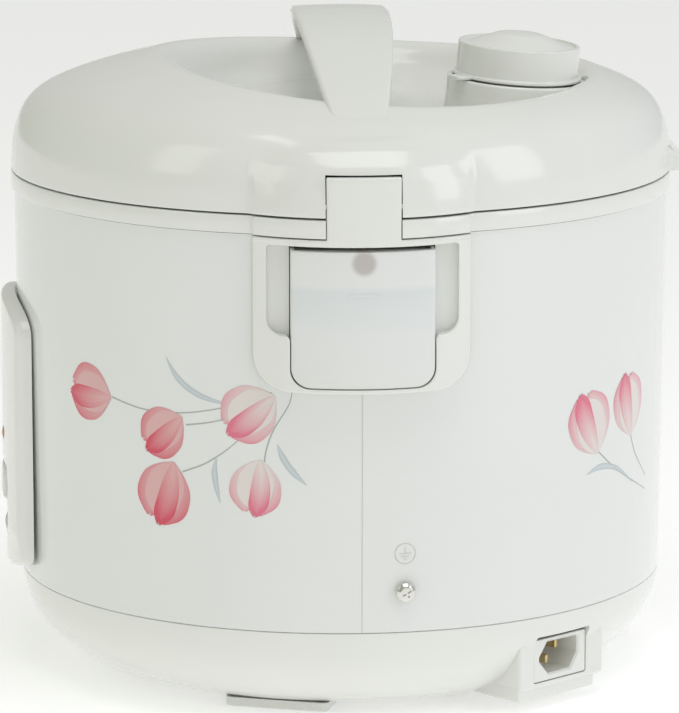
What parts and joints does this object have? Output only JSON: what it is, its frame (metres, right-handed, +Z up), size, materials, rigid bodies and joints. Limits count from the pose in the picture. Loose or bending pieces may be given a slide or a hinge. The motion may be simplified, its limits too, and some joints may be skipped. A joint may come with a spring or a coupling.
{
  "type": "rice cooker",
  "caption": "Round jar-type rice cooker with a hinged domed lid, arched carry handle, steam vent, pull-out dew collector and cook lever.",
  "frame": {"origin": "on the floor, under the centre of the round body", "axes": "+Z up; +X towards the lid hinge and the dew collector; -X towards the release button; -Y towards the control panel"},
  "size_m": [0.313, 0.3043, 0.2905],
  "materials": {
    "white_gloss": "glossy white moulded plastic with a faint pearl tone",
    "painted_sheet": "glossy white coated steel sheet with pale printed flowers",
    "grey_plastic": "fine matt moulded grey plastic",
    "frosted_plastic": "frosted translucent plastic",
    "silicone": "soft translucent grey silicone",
    "pot_aluminium": "spun aluminium with fine turning lines",
    "cast_aluminium": "sand-textured cast aluminium",
    "sheet_steel": "galvanised sheet steel",
    "bright_steel": "bright plated steel",
    "brass_contact": "plated brass contact",
    "black_plastic": "matt black plastic",
    "amber_lens": "clear amber lens",
    "green_lens": "clear green lens"
  },
  "bodies": {
    "root": {"base_shell": "white_gloss", "inlet_housing": "white_gloss", "top_ring": "white_gloss", "hinge_bracket": "white_gloss", "control_panel": "white_gloss", "inlet_socket": "white_gloss", "foot_1": "white_gloss", "foot_2": "white_gloss", "foot_3": "white_gloss", "foot_4": "white_gloss", "outer_wall": "painted_sheet", "drain_spout": "grey_plastic", "inner_pot": "pot_aluminium", "heating_plate": "cast_aluminium", "heat_shield": "sheet_steel", "sensor_cup": "sheet_steel", "lever_bracket": "sheet_steel", "hinge_pin": "bright_steel", "lever_pin": "bright_steel", "sensor_spring": "bright_steel", "earth_screw": "bright_steel", "lever_screw_1": "bright_steel", "lever_screw_2": "bright_steel", "base_screw_1": "bright_steel", "base_screw_2": "bright_steel", "base_screw_3": "bright_steel", "base_screw_4": "bright_steel", "inlet_pin_1": "brass_contact", "inlet_pin_2": "brass_contact", "inlet_pin_3": "brass_contact", "micro_switch": "black_plastic", "lamp_cook": "amber_lens", "lamp_keep_warm": "green_lens"},
    "lid": {"lid_shell": "white_gloss", "lid_handle": "white_gloss", "lid_liner": "grey_plastic", "inner_lid": "pot_aluminium", "inner_lid_knob": "grey_plastic", "lid_gasket": "silicone", "steam_seat": "white_gloss", "vent_gasket": "silicone", "latch_spring": "bright_steel", "latch_pin": "bright_steel"},
    "collector": {"dew_collector": "frosted_plastic"},
    "steam_cap": {"steam_cap": "white_gloss"},
    "button": {"release_button": "white_gloss"},
    "hook": {"latch_hook": "grey_plastic"},
    "switch": {"switch_lever": "sheet_steel", "lever_knob": "white_gloss"},
    "magnet": {"magnet_rod": "bright_steel"},
    "sensor": {"sensor_cap": "pot_aluminium"}
  },
  "joints": [
    {"name": "lid_hinge", "type": "hinge", "parent": "root", "child": "lid", "pos_m": [0.1515, 0, 0.226], "axis": [0, 1, 0], "range_deg": [0, 80]},
    {"name": "collector_slide", "type": "slide", "parent": "root", "child": "collector", "axis": [1, 0, 0], "range_m": [0, 0.06]},
    {"name": "steam_cap_lift", "type": "slide", "parent": "lid", "child": "steam_cap", "axis": [0.0235, 0.0657, 0.9976], "range_m": [0, 0.03]},
    {"name": "button_press", "type": "slide", "parent": "lid", "child": "button", "axis": [1, 0, 0], "range_m": [0, 0.002], "stiffness_N_per_m": 600, "springref_m": -0.002},
    {"name": "hook_swing", "type": "hinge", "parent": "lid", "child": "hook", "pos_m": [-0.133, 0, 0.2435], "axis": [0, -1, 0], "range_deg": [0, 6]},
    {"name": "cook_switch", "type": "hinge", "parent": "root", "child": "switch", "pos_m": [0, -0.038, 0.0488], "axis": [1, 0, 0], "range_deg": [0, 4.6], "stiffness_Nm_per_rad": 1, "springref_deg": -5.73},
    {"name": "magnet_lift", "type": "slide", "parent": "root", "child": "magnet", "axis": [0, 0, 1], "range_m": [0, 0.0032]},
    {"name": "sensor_press", "type": "slide", "parent": "root", "child": "sensor", "axis": [0, 0, -1], "range_m": [0, 0.0015], "stiffness_N_per_m": 300, "springref_m": -0.003}
  ],
  "couplings": [
    {"joint": "hook_swing", "follows": "button_press", "rad_per_m": 52.35},
    {"joint": "magnet_lift", "follows": "cook_switch", "m_per_rad": 0.03976}
  ]
}
